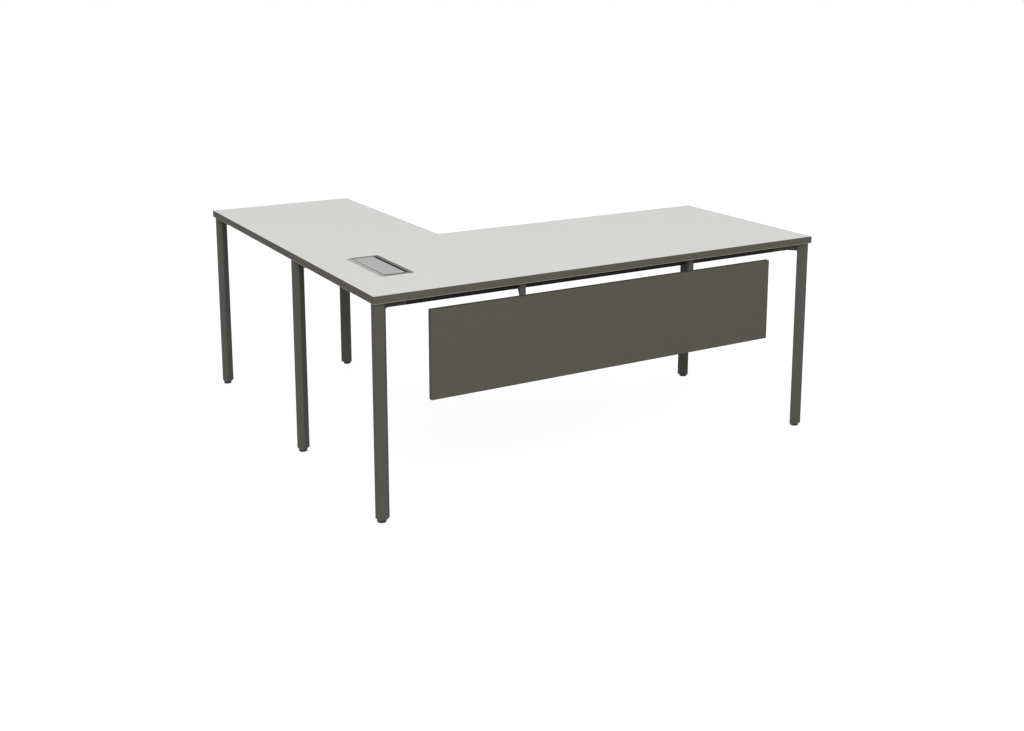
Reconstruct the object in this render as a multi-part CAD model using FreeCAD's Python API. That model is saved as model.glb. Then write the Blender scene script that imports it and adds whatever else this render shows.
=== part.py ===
import FreeCAD, Part
import math
import os

Vector = FreeCAD.Vector

# An L-shaped executive desk: a main desk with a return butted to the left half of its back edge,
# six pentagon legs with levelling feet, a beam frame under the tops, a front modesty panel and
# a flip-lid cable port. Millimetres, +Z up, origin on the floor under the centre of the desk.

# Tops
main_width = 1800.0
main_depth = 750.0
return_width = 600.0
return_length = 900.0
desk_height = 750.0
top_thickness = 25.0
backing_thickness = 1.0
band_thickness = 2.0
joint_gap = 0.2

# Legs: a five-sided tube, with a right-angled nose outwards and a flat at 45 degrees inwards
leg_inset = 8.0
leg_face = 30.0
leg_cheek = 19.0
leg_wall = 2.0
leg_radius = 1.5
leg_inner_radius = 1.0

# Levelling feet, and the plugs and nuts that hold them
foot_offset = 16.5
foot_radius = 15.5
foot_height = 10.0
foot_gap = 0.5
foot_chamfer = 1.0
stem_radius = 5.0
stem_length = 42.0
stem_socket = 8.0
stem_clearance = 0.06
cap_clearance = 0.1
cap_height = 18.0
foot_nut_size = 16.0
foot_nut_height = 8.0

# Beams, and the castings that join them to the legs
beam_depth = 40.0
beam_height = 30.0
beam_wall = 2.0
beam_leg_gap = 0.6
connector_arm = 88.0
connector_margin = 7.0
connector_grip = 22.0
spigot_length = 30.0
spigot_clearance = 0.2
nut_plate_thickness = 5.0
nut_plate_margin = 5.0
leg_bolt_radius = 3.0
leg_bolt_clearance = 0.25
leg_bolt_spacing = 13.0
leg_bolt_head_radius = 5.0
leg_bolt_head_height = 6.0
counterbore_clearance = 0.6
connector_screw_radius = 2.5
connector_screw_length = 12.0
connector_screw_head_radius = 4.5
connector_screw_head_height = 2.5

# Screws from the beams up into the tops
top_screw_radius = 2.25
top_screw_length = 20.0
top_screw_head_radius = 4.2
top_screw_head_height = 3.0
top_screw_access = 0.8
top_screw_margin = 80.0
top_screw_pitch = 460.0

# Angles that hang the return's beams on the back of the main frame
angle_thickness = 4.0
angle_wing = 40.0
angle_lap = 40.0
angle_bolt_radius = 3.0
angle_bolt_length = 18.0
angle_bolt_spacing = 15.0
angle_bolt_head_radius = 5.0
angle_bolt_head_height = 4.0

# Plates across the joint between the two tops
joint_plate_width = 40.0
joint_plate_reach = 45.0
joint_plate_thickness = 3.0
joint_plate_count = 3
joint_screw_radius = 1.75
joint_screw_length = 16.0
joint_screw_head_radius = 3.5
joint_screw_head_height = 2.0
joint_screw_edge = 9.0

# Modesty panel and its two brackets
panel_width = 1400.0
panel_height = 300.0
panel_thickness = 18.0
panel_edging = 1.0
panel_inset = 8.0
panel_drop = 70.0
bracket_spacing = 700.0
bracket_width = 22.0
bracket_shoulder = 10.0
bracket_plate = 8.0
bracket_taper_drop = 4.0
bracket_tail = 120.0
bracket_screw_radius = 2.25
bracket_screw_spacing = 11.0
bracket_screw_bite = 17.0
bracket_screw_stem = 20.0
bracket_screw_head_radius = 4.0
bracket_screw_head_height = 3.0
bracket_screw_access = 0.3
panel_screw_radius = 2.0
panel_screw_bite = 12.0
panel_screw_head_radius = 4.0
panel_screw_head_height = 2.5
panel_screw_edge = 30.0

# Cable port: a frame let into the main top, with a lid hinged beside a leaf on its left long side
port_x = 131.0
port_y = 229.0
port_hinge_rim = 12.0
port_slot_rim = 14.0
port_end_rim = 14.0
opening_width = 92.0
opening_length = 267.0
port_rim_height = 2.0
port_rim_chamfer = 1.2
rebate_depth = 1.0
rebate_clearance = 0.2
sleeve_wall = 2.5
sleeve_depth = 20.0
cutout_clearance = 0.5
leaf_thickness = 1.5
leaf_stud_radius = 1.5
leaf_stud_margin = 30.0
leaf_stud_clearance = 0.1
lid_thickness = 6.0
lid_recess = 0.3
lid_hinge_clearance = 2.5
lid_end_clearance = 1.2
cable_slot = 11.5
ledge_width = 3.0
ledge_height = 3.0
ledge_length = 50.0
ledge_clearance = 0.3
pin_radius = 1.25
pin_clearance = 0.05
pin_reach = 8.0
brush_holder_depth = 3.0
brush_holder_height = 6.0
brush_holder_drop = 0.8
brush_thickness = 2.0
brush_root = 1.0
brush_tip_gap = 0.7
clamp_length = 60.0
clamp_leg = 15.0
clamp_thickness = 2.0
clamp_screw_radius = 1.75
clamp_screw_bite = 12.0
clamp_screw_head_radius = 3.5
clamp_screw_head_height = 2.0
clamp_screw_spacing = 36.0

# Levels and lines that follow from the sizes
total_depth = main_depth + return_length
underside = desk_height - top_thickness
core_bottom = underside + backing_thickness
leg_bottom = foot_height + foot_gap
root_two = math.sqrt(2.0)
cheek_run = leg_cheek / root_two
frame_inset = leg_inset + leg_face + cheek_run + beam_leg_gap
beam_inner = frame_inset + beam_depth
beam_bottom = underside - beam_height
beam_middle = underside - beam_height / 2
arm_end = frame_inset + connector_arm
flat_half = leg_face / root_two
flat_middle = leg_inset + leg_face / 2 + cheek_run
inward = Vector(1, 1, 0) / root_two
sideways = Vector(1, -1, 0) / root_two
up = Vector(0, 0, 1)
centre_shift = Vector(-main_width / 2, -total_depth / 2, 0)

# Each leg's corner of the tops, with the directions that lead inwards along X and Y
corners = {
    "front_left": (0, 0, 1, 1),
    "front_right": (main_width, 0, -1, 1),
    "back_left": (0, main_depth, 1, -1),
    "back_right": (main_width, main_depth, -1, -1),
    "return_left": (0, total_depth, 1, -1),
    "return_right": (return_width, total_depth, -1, -1),
}

parts = {}


def box(low, high):
    """A block between two opposite corners."""
    size = [b - a for a, b in zip(low, high)]
    return Part.makeBox(size[0], size[1], size[2], Vector(*low))


def prism(points, low, high):
    """A plan outline raised from one level to another."""
    corners_3d = [Vector(x, y, low) for x, y in points]
    outline = Part.makePolygon(corners_3d + corners_3d[:1])
    return Part.Face(outline).extrude(Vector(0, 0, high - low))


def round_uprights(solid, radius):
    """Round the vertical edges of an upright solid."""
    uprights = [e for e in solid.Edges if abs(e.Vertexes[0].Z - e.Vertexes[-1].Z) > 0.5]
    return solid.makeFillet(radius, uprights)


def rod(radius, start, direction, length):
    """A round bar from a start point."""
    return Part.makeCylinder(radius, length, start, direction)


def screw(seat, direction, radius, length, head_radius, head_height):
    """A fastener whose head sits at the seat point, with its shank in the given direction."""
    shank = rod(radius, seat, direction, length)
    head = rod(head_radius, seat, -direction, head_height)
    return shank.fuse(head).removeSplitter()


def at_corner(shape, corner):
    """Copy a shape made for the front left corner to another corner."""
    x, y, x_way, y_way = corner
    placed = shape.copy()
    if x_way < 0:
        placed = placed.mirror(Vector(), Vector(1, 0, 0))
    if y_way < 0:
        placed = placed.mirror(Vector(), Vector(0, 1, 0))
    placed.translate(Vector(x, y, 0))
    return placed


def cut_all(solid, tools):
    """Cut a solid by every tool whose box meets the solid's."""
    near = [tool for tool in tools if tool.BoundBox.intersect(solid.BoundBox)]
    return solid.cut(near) if near else solid


def leg_outline(inset):
    """The leg's five corners in plan, for the front left leg, drawn in by an inset."""
    lean = inset * root_two
    near = leg_face - lean + inset
    far = leg_face + cheek_run - lean
    local = [(inset, inset), (near, inset), (far, cheek_run), (cheek_run, far), (inset, near)]
    return [(leg_inset + x, leg_inset + y) for x, y in local]


def diagonal(distance, side, level):
    """A point on the front left corner's diagonal, measured inwards from the leg's inner flat."""
    middle = Vector(flat_middle, flat_middle, level)
    return middle + inward * distance + sideways * side


# Legs, with the nut plates and bolts at their tops
bolt_levels = (beam_middle - leg_bolt_spacing / 2, beam_middle + leg_bolt_spacing / 2)
bolt_depth = connector_grip + leg_wall + nut_plate_thickness
leg_bolt_set = []
bolt_holes = []
for level in bolt_levels:
    seat = diagonal(connector_grip, 0, level)
    leg_bolt_set.append(
        screw(seat, -inward, leg_bolt_radius, bolt_depth, leg_bolt_head_radius, leg_bolt_head_height)
    )
    bolt_holes.append(rod(leg_bolt_radius + leg_bolt_clearance, seat, -inward, connector_grip + leg_wall))

leg_tube = round_uprights(prism(leg_outline(0), leg_bottom, underside), leg_radius)
leg_bore = round_uprights(prism(leg_outline(leg_wall), leg_bottom, underside), leg_inner_radius)
leg = leg_tube.cut(leg_bore).cut(bolt_holes)

plate_half = flat_half - nut_plate_margin
plate_low = -leg_wall - nut_plate_thickness
plate_corners = [
    diagonal(-leg_wall, plate_half, 0),
    diagonal(-leg_wall, -plate_half, 0),
    diagonal(plate_low, -plate_half, 0),
    diagonal(plate_low, plate_half, 0),
]
plate_points = [(corner.x, corner.y) for corner in plate_corners]
nut_plate = prism(plate_points, beam_bottom + beam_wall, underside - beam_wall)
nut_plate = nut_plate.cut(leg_bolt_set)

# Foot, with the plug and nut in the leg's lower end
foot_x = leg_inset + foot_offset
foot_axis = Vector(foot_x, foot_x, 0)
stem_base = foot_axis + up * (foot_height - stem_socket)
foot_stem = rod(stem_radius, stem_base, up, stem_length)
foot_pad = rod(foot_radius, foot_axis, up, foot_height)
rims = [e for e in foot_pad.Edges if e.Closed]
foot_pad = foot_pad.makeChamfer(foot_chamfer, rims).cut(foot_stem)
foot = Part.Compound([foot_pad, foot_stem])

cap_top = leg_bottom + cap_height
nut_points = []
for step in range(6):
    angle = math.radians(60 * step)
    reach = foot_nut_size / math.sqrt(3.0)
    nut_points.append((foot_x + reach * math.cos(angle), foot_x + reach * math.sin(angle)))
nut_block = prism(nut_points, cap_top - foot_nut_height, cap_top)
stem_hole = rod(stem_radius + stem_clearance, foot_axis, up, cap_top)
foot_nut = nut_block.cut(stem_hole)
end_cap = round_uprights(prism(leg_outline(leg_wall + cap_clearance), leg_bottom, cap_top), leg_inner_radius)
end_cap = end_cap.cut([nut_block, stem_hole])

# Corner connector: a casting with a pad on the leg's flat, two arms and two spigots
pad_half = flat_half - connector_margin
pad_end = diagonal(0, pad_half, 0)
elbow = pad_end.x + frame_inset - pad_end.y
connector = prism(
    [
        (pad_end.x, pad_end.y),
        (elbow, frame_inset),
        (arm_end, frame_inset),
        (arm_end, beam_inner),
        (beam_inner, beam_inner),
        (beam_inner, arm_end),
        (frame_inset, arm_end),
        (frame_inset, elbow),
        (pad_end.y, pad_end.x),
    ],
    beam_bottom,
    underside,
)
spigot_gap = beam_wall + spigot_clearance
spigot = box(
    (arm_end, frame_inset + spigot_gap, beam_bottom + spigot_gap),
    (arm_end + spigot_length, beam_inner - spigot_gap, underside - spigot_gap),
)
turned_spigot = spigot.mirror(Vector(), Vector(1, -1, 0))
connector = connector.fuse([spigot, turned_spigot]).removeSplitter()
for level in bolt_levels:
    seat = diagonal(connector_grip, 0, level)
    bore = rod(leg_bolt_head_radius + counterbore_clearance, seat, inward, arm_end)
    connector = connector.cut(bore)
connector = connector.cut(bolt_holes)

# Screws that hold each beam on its spigots, for the front left corner
beam_line = frame_inset + beam_depth / 2
spigot_middle = arm_end + spigot_length / 2
connector_screw_set = []
for x, y in ((spigot_middle, beam_line), (beam_line, spigot_middle)):
    seat = Vector(x, y, beam_bottom)
    connector_screw_set.append(
        screw(
            seat,
            up,
            connector_screw_radius,
            connector_screw_length,
            connector_screw_head_radius,
            connector_screw_head_height,
        )
    )
connector = cut_all(connector, connector_screw_set)

connector_screws = []
for corner in corners.values():
    connector_screws += [at_corner(s, corner) for s in connector_screw_set]


# Beams
def tube(low, high):
    """A rectangular tube along the longer plan side of a block, open at its ends."""
    along_x = high[0] - low[0] > high[1] - low[1]
    walls = (0, beam_wall, beam_wall) if along_x else (beam_wall, 0, beam_wall)
    bore_low = [a + w for a, w in zip(low, walls)]
    bore_high = [b - w for b, w in zip(high, walls)]
    return box(low, high).cut(box(bore_low, bore_high))


def spread(start, end):
    """Screw places along a beam, a margin in from its ends and no further apart than the pitch."""
    first = start + top_screw_margin
    span = end - top_screw_margin - first
    steps = max(1, math.ceil(span / top_screw_pitch))
    return [first + span * i / steps for i in range(steps + 1)]


return_beam_start = main_depth - leg_inset
beam_spans = {
    "main_front_beam": ((arm_end, frame_inset), (main_width - arm_end, beam_inner)),
    "main_back_beam": ((arm_end, main_depth - beam_inner), (main_width - arm_end, main_depth - frame_inset)),
    "main_left_rail": ((frame_inset, arm_end), (beam_inner, main_depth - arm_end)),
    "main_right_rail": ((main_width - beam_inner, arm_end), (main_width - frame_inset, main_depth - arm_end)),
    "return_left_beam": ((frame_inset, return_beam_start), (beam_inner, total_depth - arm_end)),
    "return_right_beam": (
        (return_width - beam_inner, return_beam_start),
        (return_width - frame_inset, total_depth - arm_end),
    ),
    "return_back_rail": (
        (arm_end, total_depth - beam_inner),
        (return_width - arm_end, total_depth - frame_inset),
    ),
}

top_screws = []
access_holes = []
for (x0, y0), (x1, y1) in beam_spans.values():
    if x1 - x0 > y1 - y0:
        places = [(x, (y0 + y1) / 2) for x in spread(x0, x1)]
    else:
        places = [((x0 + x1) / 2, y) for y in spread(y0, y1)]
    for x, y in places:
        seat = Vector(x, y, underside - beam_wall)
        top_screws.append(
            screw(seat, up, top_screw_radius, top_screw_length, top_screw_head_radius, top_screw_head_height)
        )
        hole_base = Vector(x, y, beam_bottom)
        access_holes.append(rod(top_screw_head_radius + top_screw_access, hole_base, up, beam_wall))

# Angles on the inner sides of the return's beams, bolted to the back of the main frame
frame_back = main_depth - frame_inset
lap_end = return_beam_start + angle_lap
angles = []
angle_bolts = []
for inner_face, way in ((beam_inner, 1), (return_width - beam_inner, -1)):
    wing_x = sorted((inner_face, inner_face + way * angle_wing))
    lap_x = sorted((inner_face, inner_face + way * angle_thickness))
    wing = box((wing_x[0], frame_back, beam_bottom), (wing_x[1], frame_back + angle_thickness, underside))
    lap = box((lap_x[0], frame_back, beam_bottom), (lap_x[1], lap_end, underside))
    angle = wing.fuse(lap).removeSplitter()
    wing_middle = inner_face + way * (angle_wing + angle_thickness) / 2
    for rise in (-angle_bolt_spacing / 2, angle_bolt_spacing / 2):
        level = beam_middle + rise
        into_frame = Vector(wing_middle, frame_back + angle_thickness, level)
        into_beam = Vector(inner_face + way * angle_thickness, lap_end - angle_lap / 2, level)
        for seat, direction in ((into_frame, Vector(0, -1, 0)), (into_beam, Vector(-way, 0, 0))):
            angle_bolts.append(
                screw(
                    seat,
                    direction,
                    angle_bolt_radius,
                    angle_bolt_length,
                    angle_bolt_head_radius,
                    angle_bolt_head_height,
                )
            )
    angles.append(cut_all(angle, angle_bolts))

beam_cutters = top_screws + access_holes + connector_screws + angle_bolts
for name, (low, high) in beam_spans.items():
    beam = tube((low[0], low[1], beam_bottom), (high[0], high[1], underside))
    parts[name] = cut_all(beam, beam_cutters)

# Plates across the joint between the tops
joint_plates = []
joint_screws = []
plate_span = return_width - 2 * beam_inner
for i in range(joint_plate_count):
    x = beam_inner + plate_span * (i + 0.5) / joint_plate_count
    plate = box(
        (x - joint_plate_width / 2, main_depth - joint_plate_reach, underside - joint_plate_thickness),
        (x + joint_plate_width / 2, main_depth + joint_plate_reach, underside),
    )
    for x_way in (-1, 1):
        for y_way in (-1, 1):
            seat = Vector(
                x + x_way * (joint_plate_width / 2 - joint_screw_edge),
                main_depth + y_way * (joint_plate_reach - joint_screw_edge),
                underside - joint_plate_thickness,
            )
            joint_screws.append(
                screw(
                    seat,
                    up,
                    joint_screw_radius,
                    joint_screw_length,
                    joint_screw_head_radius,
                    joint_screw_head_height,
                )
            )
    joint_plates.append(cut_all(plate, joint_screws))

# Modesty panel, hung in front of the front beam on two tapered brackets
panel_left = (main_width - panel_width) / 2
panel_back = panel_inset + panel_thickness
panel_top = desk_height - panel_drop
panel_bottom = panel_top - panel_height
panel_block = box((panel_left, panel_inset, panel_bottom), (panel_left + panel_width, panel_back, panel_top))
panel = box(
    (panel_left + panel_edging, panel_inset, panel_bottom + panel_edging),
    (panel_left + panel_width - panel_edging, panel_back, panel_top - panel_edging),
)
edging = panel_block.cut(panel)

taper_top = underside - bracket_shoulder
taper_bottom = panel_top - bracket_taper_drop
bracket_bottom = panel_top - bracket_tail
plate_face = panel_back + bracket_plate
bracket_side = [
    (panel_back, underside),
    (frame_inset, underside),
    (frame_inset, taper_top),
    (plate_face, taper_bottom),
    (plate_face, bracket_bottom),
    (panel_back, bracket_bottom),
]
bracket_screws = []
panel_screws = []
brackets = {}
for name, way in (("left", -1), ("right", 1)):
    middle = main_width / 2 + way * bracket_spacing / 2
    outline = [Vector(middle - bracket_width / 2, y, z) for y, z in bracket_side]
    bracket = Part.Face(Part.makePolygon(outline + outline[:1])).extrude(Vector(bracket_width, 0, 0))
    screw_line = (plate_face + frame_inset) / 2
    for side in (-bracket_screw_spacing / 2, bracket_screw_spacing / 2):
        seat = Vector(middle + side, screw_line, underside - bracket_screw_stem)
        bracket_screws.append(
            screw(
                seat,
                up,
                bracket_screw_radius,
                bracket_screw_stem + bracket_screw_bite,
                bracket_screw_head_radius,
                bracket_screw_head_height,
            )
        )
        access = rod(bracket_screw_head_radius + bracket_screw_access, seat, -up, seat.z - bracket_bottom)
        bracket = bracket.cut(access)
    for level in (panel_top - panel_screw_edge, bracket_bottom + panel_screw_edge):
        seat = Vector(middle, plate_face, level)
        panel_screws.append(
            screw(
                seat,
                Vector(0, -1, 0),
                panel_screw_radius,
                bracket_plate + panel_screw_bite,
                panel_screw_head_radius,
                panel_screw_head_height,
            )
        )
    brackets[name] = cut_all(bracket, bracket_screws + panel_screws)
parts["modesty_panel"] = cut_all(panel, panel_screws)
parts["modesty_panel_edging"] = edging
parts["panel_bracket_left"] = brackets["left"]
parts["panel_bracket_right"] = brackets["right"]

# Cable port: frame with a rim that sits in a rebate of the top, and a sleeve through the cut-out
opening_x0 = port_x + port_hinge_rim
opening_x1 = opening_x0 + opening_width
opening_y0 = port_y + port_end_rim
opening_y1 = opening_y0 + opening_length
rim_x1 = opening_x1 + port_slot_rim
rim_y1 = opening_y1 + port_end_rim
rim_top = desk_height + port_rim_height
rim_bottom = desk_height - rebate_depth
sleeve_bottom = underside - sleeve_depth
sleeve_x0 = opening_x0 - sleeve_wall
sleeve_x1 = opening_x1 + sleeve_wall
sleeve_y0 = opening_y0 - sleeve_wall
sleeve_y1 = opening_y1 + sleeve_wall

rim = box((port_x, port_y, rim_bottom), (rim_x1, rim_y1, rim_top))
rim_edges = [e for e in rim.Edges if min(v.Z for v in e.Vertexes) > desk_height + port_rim_height / 2]
rim = rim.makeChamfer(port_rim_chamfer, rim_edges)
leaf_bottom = rim_top - leaf_thickness
leaf_block = box((port_x, port_y, leaf_bottom), (opening_x0, rim_y1, rim_top))
hinge_leaf = rim.common(leaf_block)
rim = rim.cut(leaf_block)
for y in (port_y + leaf_stud_margin, (port_y + rim_y1) / 2, rim_y1 - leaf_stud_margin):
    stud_top = Vector(port_x + port_hinge_rim / 2, y, leaf_bottom)
    hinge_leaf = hinge_leaf.fuse(rod(leaf_stud_radius, stud_top, -up, leaf_bottom - rim_bottom))
    rim = rim.cut(rod(leaf_stud_radius + leaf_stud_clearance, stud_top, -up, leaf_bottom - rim_bottom))
sleeve = box((sleeve_x0, sleeve_y0, sleeve_bottom), (sleeve_x1, sleeve_y1, rim_bottom))
through = box((opening_x0, opening_y0, sleeve_bottom), (opening_x1, opening_y1, rim_top))
port_frame = rim.fuse(sleeve).removeSplitter().cut(through)
cutout = box(
    (sleeve_x0 - cutout_clearance, sleeve_y0 - cutout_clearance, underside),
    (sleeve_x1 + cutout_clearance, sleeve_y1 + cutout_clearance, desk_height),
)
rebate = box(
    (port_x - rebate_clearance, port_y - rebate_clearance, rim_bottom),
    (rim_x1 + rebate_clearance, rim_y1 + rebate_clearance, desk_height),
)

# Lid, with a rounded hinge edge, on two pins in the frame's end walls
lid_top = rim_top - lid_recess
lid_bottom = lid_top - lid_thickness
lid_x0 = opening_x0 + lid_hinge_clearance
lid_x1 = opening_x1 - cable_slot
lid_y0 = opening_y0 + lid_end_clearance
lid_y1 = opening_y1 - lid_end_clearance
barrel_radius = lid_thickness / 2
hinge_x = lid_x0 + barrel_radius
hinge_z = lid_bottom + barrel_radius
along_y = Vector(0, 1, 0)
barrel = rod(barrel_radius, Vector(hinge_x, lid_y0, hinge_z), along_y, lid_y1 - lid_y0)
lid = box((hinge_x, lid_y0, lid_bottom), (lid_x1, lid_y1, lid_top)).fuse(barrel).removeSplitter()
hinge_pins = []
for wall_face, way in ((opening_y0, 1), (opening_y1, -1)):
    start = Vector(hinge_x, wall_face - way * sleeve_wall, hinge_z)
    direction = along_y * way
    pin_length = sleeve_wall + pin_reach
    hinge_pins.append(rod(pin_radius, start, direction, pin_length))
    lid = lid.cut(rod(pin_radius + pin_clearance, start, direction, pin_length + lid_end_clearance))
port_frame = port_frame.cut(hinge_pins)

ledge_top = lid_bottom - ledge_clearance
ledge_x0 = (lid_x0 + lid_x1 - ledge_length) / 2
for y0, y1 in ((opening_y0, opening_y0 + ledge_width), (opening_y1 - ledge_width, opening_y1)):
    ledge = box((ledge_x0, y0, ledge_top - ledge_height), (ledge_x0 + ledge_length, y1, ledge_top))
    port_frame = port_frame.fuse(ledge)
port_frame = port_frame.removeSplitter()

# Brush strip that closes the cable slot beside the lid
holder_top = rim_top - brush_holder_drop
holder_x0 = opening_x1 - brush_holder_depth
brush_middle = holder_top - brush_holder_height / 2
brush = box(
    (lid_x1 + brush_tip_gap, lid_y0, brush_middle - brush_thickness / 2),
    (holder_x0 + brush_root, lid_y1, brush_middle + brush_thickness / 2),
)
brush_holder = box((holder_x0, lid_y0, holder_top - brush_holder_height), (opening_x1, lid_y1, holder_top))
brush_holder = brush_holder.cut(brush)

# Clamp angles that hold the port frame in its cut-out from below
clamps = []
clamp_screws = []
clamp_middle = (opening_x0 + opening_x1) / 2
for wall_face, way in ((sleeve_y0, -1), (sleeve_y1, 1)):
    upright_y = sorted((wall_face, wall_face + way * clamp_thickness))
    shelf_y = sorted((wall_face, wall_face + way * clamp_leg))
    clamp_x0 = clamp_middle - clamp_length / 2
    clamp_x1 = clamp_middle + clamp_length / 2
    upright = box((clamp_x0, upright_y[0], underside - clamp_leg), (clamp_x1, upright_y[1], underside))
    shelf = box((clamp_x0, shelf_y[0], underside - clamp_thickness), (clamp_x1, shelf_y[1], underside))
    clamp = upright.fuse(shelf).removeSplitter()
    own_screws = []
    for side in (-clamp_screw_spacing / 2, clamp_screw_spacing / 2):
        x = clamp_middle + side
        seat_up = Vector(x, wall_face + way * (clamp_leg + clamp_thickness) / 2, underside - clamp_thickness)
        seat_in = Vector(x, wall_face + way * clamp_thickness, underside - (clamp_leg + clamp_thickness) / 2)
        for seat, direction, length in (
            (seat_up, up, clamp_thickness + clamp_screw_bite),
            (seat_in, along_y * -way, clamp_thickness + sleeve_wall),
        ):
            own_screws.append(
                screw(
                    seat,
                    direction,
                    clamp_screw_radius,
                    length,
                    clamp_screw_head_radius,
                    clamp_screw_head_height,
                )
            )
    clamps.append(cut_all(clamp, own_screws))
    clamp_screws += own_screws
parts["port_frame"] = cut_all(port_frame, clamp_screws)
parts["port_hinge_leaf"] = hinge_leaf
parts["port_lid"] = lid
parts["port_hinge_pins"] = Part.Compound(hinge_pins)
parts["port_brush"] = brush
parts["port_brush_holder"] = brush_holder
parts["port_clamps"] = Part.Compound(clamps)
parts["port_screws"] = Part.Compound(clamp_screws)

# Tops: melamine-faced boards with an edge band, and a balancing sheet trimmed flush below them
top_cutters = top_screws + joint_screws + bracket_screws + clamp_screws
band_end = return_width - band_thickness
return_start = main_depth + joint_gap
main_block = box((0, 0, core_bottom), (main_width, main_depth, desk_height))
main_board = box(
    (band_thickness, band_thickness, core_bottom),
    (main_width - band_thickness, main_depth - band_thickness, desk_height),
)
bare_edge = box(
    (band_thickness, main_depth - band_thickness, core_bottom),
    (band_end, main_depth, desk_height),
)
main_board = main_board.fuse(bare_edge).removeSplitter()
parts["main_edge_band"] = main_block.cut(main_board)
parts["main_board"] = cut_all(main_board.cut([cutout, rebate]), top_cutters)
main_backing = box((0, 0, underside), (main_width, main_depth, core_bottom)).cut(cutout)
parts["main_backing"] = cut_all(main_backing, top_cutters)

return_block = box((0, return_start, core_bottom), (return_width, total_depth, desk_height))
return_board = box(
    (band_thickness, return_start, core_bottom),
    (return_width - band_thickness, total_depth - band_thickness, desk_height),
)
parts["return_edge_band"] = return_block.cut(return_board)
parts["return_board"] = cut_all(return_board, top_cutters)
return_backing = box((0, return_start, underside), (return_width, total_depth, core_bottom))
parts["return_backing"] = cut_all(return_backing, top_cutters)

# Pieces that stand at every corner
cap_set = []
nut_set = []
nut_plate_set = []
bolt_set = []
for name, corner in corners.items():
    parts["leg_" + name] = at_corner(leg, corner)
    parts["foot_" + name] = at_corner(foot, corner)
    parts["connector_" + name] = cut_all(at_corner(connector, corner), angle_bolts)
    cap_set.append(at_corner(end_cap, corner))
    nut_set.append(at_corner(foot_nut, corner))
    nut_plate_set.append(at_corner(nut_plate, corner))
    bolt_set += [at_corner(bolt, corner) for bolt in leg_bolt_set]
parts["leg_end_caps"] = Part.Compound(cap_set)
parts["foot_nuts"] = Part.Compound(nut_set)
parts["leg_nut_plates"] = Part.Compound(nut_plate_set)
parts["leg_bolts"] = Part.Compound(bolt_set)
parts["connector_screws"] = Part.Compound(connector_screws)
parts["top_screws"] = Part.Compound(top_screws)
parts["return_angles"] = Part.Compound(angles)
parts["angle_bolts"] = Part.Compound(angle_bolts)
parts["joint_plates"] = Part.Compound(joint_plates)
parts["joint_plate_screws"] = Part.Compound(joint_screws)
parts["bracket_screws"] = Part.Compound(bracket_screws)
parts["panel_screws"] = Part.Compound(panel_screws)

os.makedirs("parts", exist_ok=True)
for name, shape in parts.items():
    shape.translate(centre_shift)
    shape.exportStep("parts/" + name + ".step")
print(len(parts), "nodes")
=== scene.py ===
"""Looks of an L-shaped executive desk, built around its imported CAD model."""

import math
import random

import bmesh
import bpy
from bpy.props import FloatProperty, FloatVectorProperty, IntProperty, PointerProperty
from mathutils import Matrix, Vector


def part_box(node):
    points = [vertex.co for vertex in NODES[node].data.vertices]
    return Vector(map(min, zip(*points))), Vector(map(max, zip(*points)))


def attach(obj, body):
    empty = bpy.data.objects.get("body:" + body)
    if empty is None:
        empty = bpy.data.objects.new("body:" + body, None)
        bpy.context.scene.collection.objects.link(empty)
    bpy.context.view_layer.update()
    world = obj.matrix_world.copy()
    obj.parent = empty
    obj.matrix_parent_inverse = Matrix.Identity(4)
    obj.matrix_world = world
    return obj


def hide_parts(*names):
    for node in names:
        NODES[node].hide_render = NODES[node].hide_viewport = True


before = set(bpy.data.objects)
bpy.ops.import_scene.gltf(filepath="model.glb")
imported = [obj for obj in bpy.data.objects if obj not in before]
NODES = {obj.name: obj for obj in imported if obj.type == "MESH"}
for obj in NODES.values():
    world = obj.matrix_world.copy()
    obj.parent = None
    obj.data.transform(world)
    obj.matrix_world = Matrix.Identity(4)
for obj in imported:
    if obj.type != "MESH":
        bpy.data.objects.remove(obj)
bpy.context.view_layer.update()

bl_info = {
    "name": "L-Shaped Executive Desk",
    "version": (1, 0, 0),
    "blender": (4, 5, 0),
    "location": "3D View > Sidebar > Desk",
    "description": "Dresses the desk's CAD model with its finishes and fine shapes",
    "category": "Object",
}

MM = 0.001
UP = Vector((0, 0, 1))

SEAM = 0.001 * MM  # the ends of a full turn lie nearer than this
MERGE = 0.002 * MM  # and so do the shared corners of a CAD node's triangles
TOUCH = 0.01 * MM  # a point this near to a face counts as on it
LEVEL = 0.1 * MM  # heights and radii that differ by less than this count as equal
FLAT = math.radians(0.5)  # faces that turn less than this are joined up
SHARP = math.radians(30)  # edges that turn more than this are rounded
CREASE = math.radians(40)  # edges that turn more than this shade as sharp

# Noise gathers round its middle, so colour and gloss run over these parts of it
TINT_SPAN = (0.35, 0.65)
GLOSS_SPAN = (0.3, 0.7)
CLOUD_DETAIL = 3.0
GRAIN_DETAIL = 2.0

# Which way each leg's corner leads inwards, along X and Y
CORNERS = {
    "front_left": (1, 1),
    "front_right": (-1, 1),
    "back_left": (1, -1),
    "back_right": (-1, -1),
    "return_left": (1, -1),
    "return_right": (-1, -1),
}


def linear(code):
    """Turn an sRGB hex colour into linear red, green, blue and alpha."""
    values = [int(code[i : i + 2], 16) / 255 for i in (1, 3, 5)]
    return (*[v / 12.92 if v <= 0.04045 else ((v + 0.055) / 1.055) ** 2.4 for v in values], 1.0)


def colour(name, description, code):
    """A colour that a user can change, from its sRGB hex value."""
    return FloatVectorProperty(
        name=name, description=description, subtype="COLOR", size=4, min=0, max=1, default=linear(code)
    )


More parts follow.
